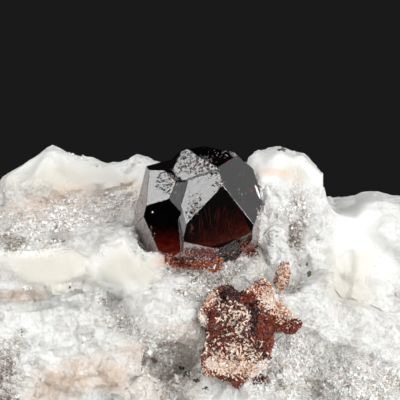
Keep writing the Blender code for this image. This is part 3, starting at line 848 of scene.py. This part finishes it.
def build_rock(garnet, broken, splinter):
    piece = add_piece("rock", welded_copy("matrix"))
    remesh(piece, ROCK_VOXEL)
    mesh = piece.data
    refine_front(mesh, 24)
    refine_front(mesh, 6, SMOOTH)
    cling(piece, "matrix")
    mesh = piece.data
    outward = normals(mesh)
    points = flatten(coordinates(mesh), outward, layered_noise(coordinates(mesh), 2.2 * MM, 11))
    masks = front_masks(points, outward)
    raised = masks.pop("raised")
    smooth = masks["smooth"]
    quartz = masks["quartz"]

    crown = unit((outward @ np.array(UP) - 0.3) / 0.4)
    relief = broken_faces(points, 4.4 * MM, 40) * 1.1 * (1.0 - 0.8 * smooth) * (1.0 - 0.8 * crown)
    relief += broken_faces(points, 1.7 * MM, 60) * 0.5 * (1.0 - 0.8 * smooth) * (1.0 - 0.4 * crown)
    relief += cleavage_steps(points, 4.5 * MM, 130) * 0.5 * (1.0 - quartz) * (1.0 - 0.7 * smooth)
    relief += broken_faces(points, 0.7 * MM, 80) * (0.05 + 0.17 * quartz) * (1.0 - 0.7 * smooth)
    relief += broken_faces(points, 8.0 * MM, 44) * 2.0 * masks["unseen"]
    relief += broken_faces(points, 2.6 * MM, 48) * 0.9 * masks.pop("unseen")
    upright = points * np.array((1.0, 1.0, 0.18))
    relief += shell_breaks(upright, 0.9 * MM, 95) * 0.28 * masks["fibrous"]
    relief += raised - 0.2 * quartz
    hold = unit((points[:, 2] - FOOT) / (1.5 * MM))
    points += outward * (relief * hold * MM)[:, None]

    points = match_skyline(points)
    pixels = to_pixels(points)
    for *zone, right, up in ASIDE:
        weight = zone_mask(pixels, (zone,), np.zeros(len(points)), 0.8)
        points += (np.array(RIGHT) * right + np.array(UP) * up) * MM * weight[:, None]
    draw_in(points, garnet, 0.9 * MM)
    draw_in(points, splinter, 0.8 * MM)
    near = draw_in(points, broken, 1.9 * MM)
    masks["rust"] = np.maximum(masks["rust"], near * 0.8)
    set_coordinates(mesh, points)
    for name, values in masks.items():
        set_attribute(mesh, name, values)
    mesh.shade_smooth()
    mesh.set_sharp_from_angle(angle=math.radians(38))
    mesh.materials.append(rock_material())
    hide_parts("matrix")
    return piece


CUBE = np.array(list(itertools.product((-1.0, 1.0), repeat=3)))
CUBE_FACES = ((0, 1, 3, 2), (4, 6, 7, 5), (0, 4, 5, 1), (2, 3, 7, 6), (0, 2, 6, 4), (1, 5, 7, 3))


def random_turns(random_numbers, count):
    """That many random rotation matrices, from unit quaternions."""
    q = random_numbers.normal(size=(count, 4))
    w, x, y, z = (q / np.linalg.norm(q, axis=1)[:, None]).T
    rows = ((1 - 2 * (y * y + z * z), 2 * (x * y - w * z), 2 * (x * z + w * y)),
            (2 * (x * y + w * z), 1 - 2 * (x * x + z * z), 2 * (y * z - w * x)),
            (2 * (x * z - w * y), 2 * (y * z + w * x), 1 - 2 * (x * x + y * y)))
    return np.stack([np.stack(row, axis=1) for row in rows], axis=1)


def blocky_grains(name, centres, halves, seed):
    """Small uneven blocks, one at each centre, turned every way and joined in one mesh."""
    draw = np.random.default_rng(seed)
    count = len(centres)
    corners = CUBE[None] * draw.uniform(0.4, 1.2, (count, 8, 1)) * halves[:, None, :]
    corners = np.einsum("nij,nkj->nki", random_turns(draw, count), corners) + centres[:, None, :]
    first = np.arange(count)[:, None, None] * 8
    faces = (first + np.array(CUBE_FACES)[None]).reshape(-1, 4)
    mesh = bpy.data.meshes.new(name)
    mesh.from_pydata(corners.reshape(-1, 3).tolist(), [], faces.tolist())
    return mesh


def build_sugar(rock, name, count, size, seed, front):
    """Quartz grains that stand out of the rock's sugary patches."""
    draw = np.random.default_rng(seed)
    mesh = rock.data
    points = coordinates(mesh)
    outward = normals(mesh)
    quartz = attribute_values(mesh, "quartz")
    smoky_and_shade = attribute_values(mesh, "smoky_and_shade")
    pixels = to_pixels(points)
    inside = (pixels > 0).all(axis=1) & (pixels < PICTURE).all(axis=1)
    facing = outward @ np.array(BACK)
    shown = inside & (facing > 0.0) if front else ~inside | (facing < -0.1)
    clusters = layered_noise(points, 1.4 * MM, 170)
    fit = np.flatnonzero((quartz + clusters * 1.6 > 0.8) & shown & (points[:, 2] > 2.5 * MM))
    chosen = draw.choice(fit, min(count, len(fit)), replace=False)
    halves = draw.uniform(0.35, 1.3, (len(chosen), 3)) * size
    halves *= 0.5 + 1.4 * draw.uniform(0.0, 1.0, (len(chosen), 1)) ** 3
    centres = points[chosen] - outward[chosen] * (halves.min(axis=1) * 0.3)[:, None]
    grains = blocky_grains(name, centres, halves, seed)
    shade = draw.uniform(0.0, 0.85, len(chosen)) + smoky_and_shade[chosen] * 0.4 - clusters[chosen] * 0.1
    set_attribute(grains, "shade", np.repeat(shade, BLOCK_CORNERS))
    grains.materials.append(grain_material())
    piece = add_piece(name, grains)


# ---- garnets ------------------------------------------------------------------------------------
def build_garnet():
    """The crystal's own faces with narrow bevelled edges, and how etched each of them is."""
    mesh = welded_copy("garnet")
    shape = bmesh.new()
    shape.from_mesh(mesh)
    bmesh.ops.dissolve_limit(shape, angle_limit=math.radians(0.5), verts=shape.verts, edges=shape.edges)
    edges = [e for e in shape.edges if e.calc_face_angle() > math.radians(3)]
    bmesh.ops.bevel(shape, geom=edges, offset=EDGE_WIDTH, segments=2, affect="EDGES", profile=0.5)
    bmesh.ops.triangulate(shape, faces=shape.faces)
    for _ in range(5):
        long = [e for e in shape.edges if e.calc_length() > FACET_GRID]
        bmesh.ops.subdivide_edges(shape, edges=long, cuts=1)
        bmesh.ops.triangulate(shape, faces=shape.faces)
    shape.to_mesh(mesh)
    shape.free()
    piece = add_piece("garnet_crystals", mesh)
    etch = np.zeros(len(mesh.vertices))
    film_and_rim_light = np.zeros(len(mesh.vertices))
    for turn, index, etched, stained in FACE_LOOKS:
        normal = (turn_matrix(turn) @ Vector(index)).normalized()
        for face in mesh.polygons:
            if face.normal.dot(normal) > SAME_FACE:
                etch[list(face.vertices)] = etched
                film_and_rim_light[list(face.vertices)] = stained
    points = coordinates(mesh)
    pixels = to_pixels(points)
    wobble = layered_noise(points, 1.2 * MM, 51) * 0.4
    front = (normals(mesh) @ np.array(BACK) > 0.0) & (etch > 0.0)
    for *zone, more in ETCHED:
        etch += front * zone_mask(pixels, (zone,), wobble, 0.15) * more
    film_and_rim_light = np.maximum(film_and_rim_light, front * zone_mask(pixels, STAINS_AND_RIM_LIGHT, wobble, 0.4) * 0.7)
    set_attribute(mesh, "etch", etch)
    set_attribute(mesh, "film_and_rim_light", film_and_rim_light)
    set_attribute(mesh, "foot", zone_mask(pixels, FOOT_STAIN, wobble, 0.4))
    mesh.materials.append(garnet_material())
    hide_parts("garnet")
    return piece


def build_rusty_piece(name, node, voxel, relief, material):
    piece = add_piece(name, welded_copy(node))
    remesh(piece, voxel)
    mesh = piece.data
    points = coordinates(mesh)
    height = shell_breaks(points, 1.1 * MM, 140) * relief
    height += shell_breaks(points, 0.4 * MM, 150) * relief * 0.6
    points += normals(mesh) * (height * MM)[:, None]
    set_coordinates(mesh, points)
    pixels = to_pixels(points)
    wobble = layered_noise(points, 1.5 * MM, 31) * 0.4
    for mask, zones in (("core", DARK_CORE), ("red", DEEP_RED), ("net", CREAM_NET), ("peach", PEACH),
                        ("white", OVERGROWN)):
        set_attribute(mesh, mask, zone_mask(pixels, zones, wobble))
    mesh.materials.append(material)
    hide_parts(node)
    return piece


# ---- grains, inclusions and painted glow planes -------------------------------------------------
def add_grain(shape, centre, half, draw, look=0):
    """A small angular grain: a jittered icosahedron."""
    turn = Euler([draw.uniform(0.0, math.tau) for _ in range(3)]).to_matrix()
    made = bmesh.ops.create_icosphere(shape, subdivisions=1, radius=1.0)
    for vertex in made["verts"]:
        stretched = Vector([a * b for a, b in zip(vertex.co * draw.uniform(0.75, 1.15), half)])
        vertex.co = centre + turn @ stretched
    for face in {f for v in made["verts"] for f in v.link_faces}:
        face.material_index = look


SPREAD = 1.1                       # the farthest grains of a spot, as a share of its half-size
GRAIN_CORNERS = 12                 # corners of an icosahedron
BLOCK_CORNERS = 8


def scatter_grains(name, spots, trees, seed):
    """Grains half sunk where the camera sees each spot."""
    draw = random.Random(seed)
    shape = bmesh.new()
    for x, y, wide, high, count, size, *look in spots:
        for _ in range(count):
            across = x + draw.triangular(-SPREAD, SPREAD) * wide
            down = y + draw.triangular(-SPREAD, SPREAD) * high
            hits = [tree.ray_cast(EYE, towards((across, down))) for tree in trees]
            hits = [hit for hit in hits if hit[0] is not None]
            if not hits:
                continue
            place = min(hits, key=lambda hit: hit[3])[0]
            half = [size * MM * draw.uniform(0.6, 1.4) for _ in range(3)]
            add_grain(shape, place, half, draw, *look)
    return add_piece(name, mesh_of(shape, name))


def build_specks(rock, garnet):
    piece = scatter_grains("mineral_specks", SPECKS, [tree_of(rock.data), tree_of(garnet.data)], 3)
    for name, dark, light, roughness in SPECK_LOOKS:
        piece.data.materials.append(speck_material(name, dark, light, roughness))


def shade_crumbs(mesh, corners, seed, low, high):
    """Each crumb, of that many corners, gets one shade all over."""
    draw = np.random.default_rng(seed)
    count = len(mesh.vertices) // corners
    set_attribute(mesh, "shade", np.repeat(draw.uniform(low, high, count), corners))


def add_crumbs(name, spots, trees, seed, shades, material):
    """Scattered grains of one material, each with its own shade."""
    piece = scatter_grains(name, spots, trees, seed)
    shade_crumbs(piece.data, GRAIN_CORNERS, seed + 1, *shades)
    piece.data.materials.append(material)
    return piece


def build_crust(rock, garnet, material):
    """Rusty crumbs along the foot of the crystal, and dark red ones."""
    trees = [tree_of(rock.data), tree_of(garnet.data)]
    add_crumbs("rusty_crumbs", CRUST, trees, 8, (0.28, 0.74), material)
    add_crumbs("dark_crumbs", DARK_CRUST, trees, 8, (0.0, 0.5), material)


def build_halo(rock, material):
    """Crumbs of rusty and cream grains round the edge of the broken garnet."""
    draw = np.random.default_rng(12)
    mesh = rock.data
    points = coordinates(mesh)
    outward = normals(mesh)
    rust = attribute_values(mesh, "rust")
    low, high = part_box("broken_garnet")
    reach = 1.5 * MM
    beside = (points > np.array(low) - reach).all(axis=1) & (points < np.array(high) + reach).all(axis=1)
    fit = np.flatnonzero(beside & (rust > 0.35) & (outward @ np.array(BACK) > 0.0))
    chosen = draw.choice(fit, min(1800, len(fit)), replace=False)
    halves = draw.uniform(0.03, 0.12, (len(chosen), 3)) * MM
    grains = blocky_grains("broken_garnet_crumbs", points[chosen], halves, 13)
    shade_crumbs(grains, BLOCK_CORNERS, 14, 0.35, 1.2)
    grains.materials.append(material)
    piece = add_piece("broken_garnet_crumbs", grains)


def build_needles(name, carrier, most, material):
    """Crumbs and needles all over the carrier's front: dark, red, peach or cream by zone."""
    draw = np.random.default_rng(31)
    mesh = carrier.data
    points = coordinates(mesh)
    fit = np.flatnonzero(normals(mesh) @ np.array(BACK) > -0.1)
    chosen = draw.choice(fit, min(most, len(fit)), replace=False)
    count = len(chosen)
    shade = draw.uniform(0.1, 0.6, count)
    long = np.ones(count)
    for zone, share, low, high, stretch in NEEDLE_ZONES:
        taken = draw.uniform(0.0, 1.0, count) < attribute_values(mesh, zone)[chosen] * share
        shade = np.where(taken, draw.uniform(low, high, count), shade)
        long = np.where(taken, stretch, long)
    halves = draw.uniform(0.03, 0.12, (count, 3)) * MM
    halves[:, 0] *= long
    grains = blocky_grains(name, points[chosen], halves, 32)
    set_attribute(grains, "shade", np.repeat(shade, BLOCK_CORNERS))
    grains.materials.append(material)
    add_piece(name, grains)


def build_dust(garnet, material):
    """Pale dust with painted glints, and dark specks of dirt and painted pit shade on the etched faces."""
    trees = [tree_of(garnet.data)]
    add_crumbs("feldspar_dust_and_glints", PALE_DUST_AND_GLINTS, trees, 15, (0.0, 0.6), material)
    add_crumbs("dark_dust_and_pit_shade", DARK_DUST_AND_PIT_SHADE, trees, 15, (0.75, 1.1), material)


def build_sliver(garnet):
    """A white feldspar sliver that clings to the crystal's right-hand edge."""
    tree = tree_of(garnet.data)
    ends = []
    for pixel in SLIVER:
        seen = tree.ray_cast(EYE, towards(pixel))[0]
        ends.append(seen or tree.find_nearest(EYE + towards(pixel) * (GARNET_CENTRE - EYE).length)[0])
    middle = (ends[0] + ends[1]) / 2
    along = ends[1] - ends[0]
    turn = along.to_track_quat("Z", "Y").to_matrix()
    shape = bmesh.new()
    draw = random.Random(4)
    for vertex in bmesh.ops.create_icosphere(shape, subdivisions=2, radius=1.0)["verts"]:
        half = (SLIVER_HALF, SLIVER_HALF, along.length / 2)
        stretched = [a * b * draw.uniform(0.8, 1.1) for a, b in zip(vertex.co, half)]
        vertex.co = middle + turn @ Vector(stretched)
    mesh = mesh_of(shape, "feldspar_sliver")
    mesh.materials.append(grain_material())
    piece = add_piece("feldspar_sliver", mesh)


def build_painted_glow_planes(garnet):
    """Sheets that dip into the crystal from its foot, painted with a red glow near the foot that fades into
    painted black shade as the crystal thickens.
    """
    tree = tree_of(garnet.data)
    steps = 26
    shades = []
    shape = bmesh.new()
    for low_left, low_right, high_right, high_left, near, far, glow in PAINTED_GLOW_PLANES:
        corners = [np.array(c, float) for c in (low_left, low_right, high_right, high_left)]
        rows = []
        for i in range(steps):
            v = i / (steps - 1)
            row = []
            for k in range(steps):
                u = k / (steps - 1)
                low = corners[0] * (1 - u) + corners[1] * u
                high = corners[3] * (1 - u) + corners[2] * u
                sight = towards(low * (1 - v) + high * v)
                surface = tree.ray_cast(EYE, sight)[0]
                place = None if surface is None else surface + sight * (near + (far - near) * v) * MM
                row.append(None if place is None else shape.verts.new(place))
                if place is not None:
                    # painted glow, fading out towards the top of each sheet
                    shades.append(glow * max(0.0, 1.0 - 1.35 * v))
            rows.append(row)
        for i in range(steps - 1):
            for k in range(steps - 1):
                square = [rows[i][k], rows[i][k + 1], rows[i + 1][k + 1], rows[i + 1][k]]
                if None not in square:
                    shape.faces.new(square)
    mesh = mesh_of(shape, "painted_glow_planes")
    set_attribute(mesh, "glow", shades)
    points = coordinates(mesh)
    points += np.array(BACK) * (layered_noise(points, 0.8 * MM, 61) * 0.2 * MM)[:, None]
    set_coordinates(mesh, points)
    piece = add_piece("painted_glow_planes", mesh)
    thicken = piece.modifiers.new("thicken", "SOLIDIFY")
    thicken.thickness = 0.02 * MM
    apply_modifiers(piece)
    piece.data.materials.append(painted_glow_material())


def build_inclusions(garnet):
    """Fine needles and specks inside the crystal, set back from the face that the camera sees."""
    draw = random.Random(21)
    tree = tree_of(garnet.data)
    shape = bmesh.new()
    for x, y, wide, high, count, depth, width, length in INCLUSIONS:
        for _ in range(count):
            sight = towards((x + draw.uniform(-wide, wide), y + draw.uniform(-high, high)))
            surface = tree.ray_cast(EYE, sight)[0]
            if surface is None:
                continue
            place = surface + sight * depth * MM * draw.uniform(0.5, 1.3)
            half = Vector((width, width, length)) * MM * draw.uniform(0.4, 1.2)
            made = bmesh.ops.create_icosphere(shape, subdivisions=1, radius=1.0)["verts"]
            lean = Euler([math.radians(draw.uniform(-16, 16)) for _ in range(3)]).to_matrix()
            for vertex in made:
                vertex.co = place + lean @ Vector([a * b for a, b in zip(vertex.co, half)])
    mesh = mesh_of(shape, "inclusions")
    piece = add_piece("inclusions", mesh)
    mesh.materials.append(inclusion_material())


# ---- stage --------------------------------------------------------------------------------------
FLOOR_RADIUS = 0.145               # metres


def build_floor():
    shape = bmesh.new()
    bmesh.ops.create_circle(shape, cap_ends=True, segments=128, radius=FLOOR_RADIUS)
    mesh = mesh_of(shape, "floor")
    floor = new_object("floor", mesh)
    mesh.materials.append(floor_material())


def softbox(name, way, distance, size, radiance):
    """A square light of even brightness; way is its direction as (right, up, towards the viewer)."""
    direction = (RIGHT * way[0] + UP * way[1] + BACK * way[2]).normalized()
    light = bpy.data.lights.new(name, "AREA")
    light.shape = "SQUARE"
    light.size = size
    light.energy = radiance * math.pi * size * size
    lamp = new_object(name, light)
    lamp.location = GARNET_CENTRE + direction * distance
    lamp.rotation_euler = direction.to_track_quat("Z", "Y").to_euler()
    lamp.visible_camera = False


LIGHTS = (                         # name, direction, distance, size, radiance
    ("key", (-0.60, 0.68, 0.42), 0.30, 0.18, 5.8),
    ("front_top", (0.25, 0.55, 0.79), 0.36, 0.20, 1.3),
    ("right_back", (0.80, 0.52, -0.30), 0.34, 0.26, 0.75),
    ("right_top", (0.50, 0.80, 0.34), 0.34, 0.20, 2.3),
    ("front_right", (0.62, 0.12, 0.78), 0.34, 0.16, 5.6),
    ("low_front", (0.60, -0.14, 0.79), 0.36, 0.14, 4.5),
    ("right_front", (0.86, 0.28, 0.42), 0.34, 0.30, 2.0),
    ("left_front", (-0.95, 0.05, 0.30), 0.34, 0.30, 2.1),
    ("front", (0.28, -0.02, 0.96), 0.40, 0.30, 0.03),
)


def build_lights():
    for light in LIGHTS:
        softbox(*light)
    world = bpy.data.worlds.new("backdrop")
    world.use_nodes = True
    world.node_tree.nodes["Background"].inputs["Color"].default_value = rgb(0.0103, 0.0103, 0.0103)
    bpy.context.scene.world = world


def build_camera():
    camera = bpy.data.cameras.new("camera")
    camera.lens = LENS
    camera.sensor_width = SENSOR
    camera.clip_start = 0.005
    eye = new_object("camera", camera)
    eye.location = EYE
    eye.rotation_euler = (math.pi / 2 - LOOK_DOWN, 0.0, 0.0)
    bpy.context.scene.camera = eye


build_camera()
build_lights()
build_floor()
rusty = rusty_material()
garnet = build_garnet()
broken = build_rusty_piece("broken_garnet_grains", "broken_garnet", 0.16 * MM, 0.35, rusty)
splinter = build_rusty_piece("splinter_grains", "garnet_splinter", 0.1 * MM, 0.15, rusty)
rock = build_rock(garnet, broken, splinter)
build_specks(rock, garnet)
crumbs = crumb_material()
build_crust(rock, garnet, crumbs)
build_halo(rock, crumbs)
build_needles("broken_garnet_needles", broken, 8500, crumbs)
build_needles("splinter_needles", splinter, 500, crumbs)
build_dust(garnet, grain_material())
build_sliver(garnet)
build_inclusions(garnet)
build_painted_glow_planes(garnet)
build_sugar(rock, "quartz_grains_front", 16000, 0.105 * MM, 5, True)
build_sugar(rock, "quartz_grains_around", 9000, 0.20 * MM, 6, False)
bpy.context.scene.view_settings.view_transform = "Standard"
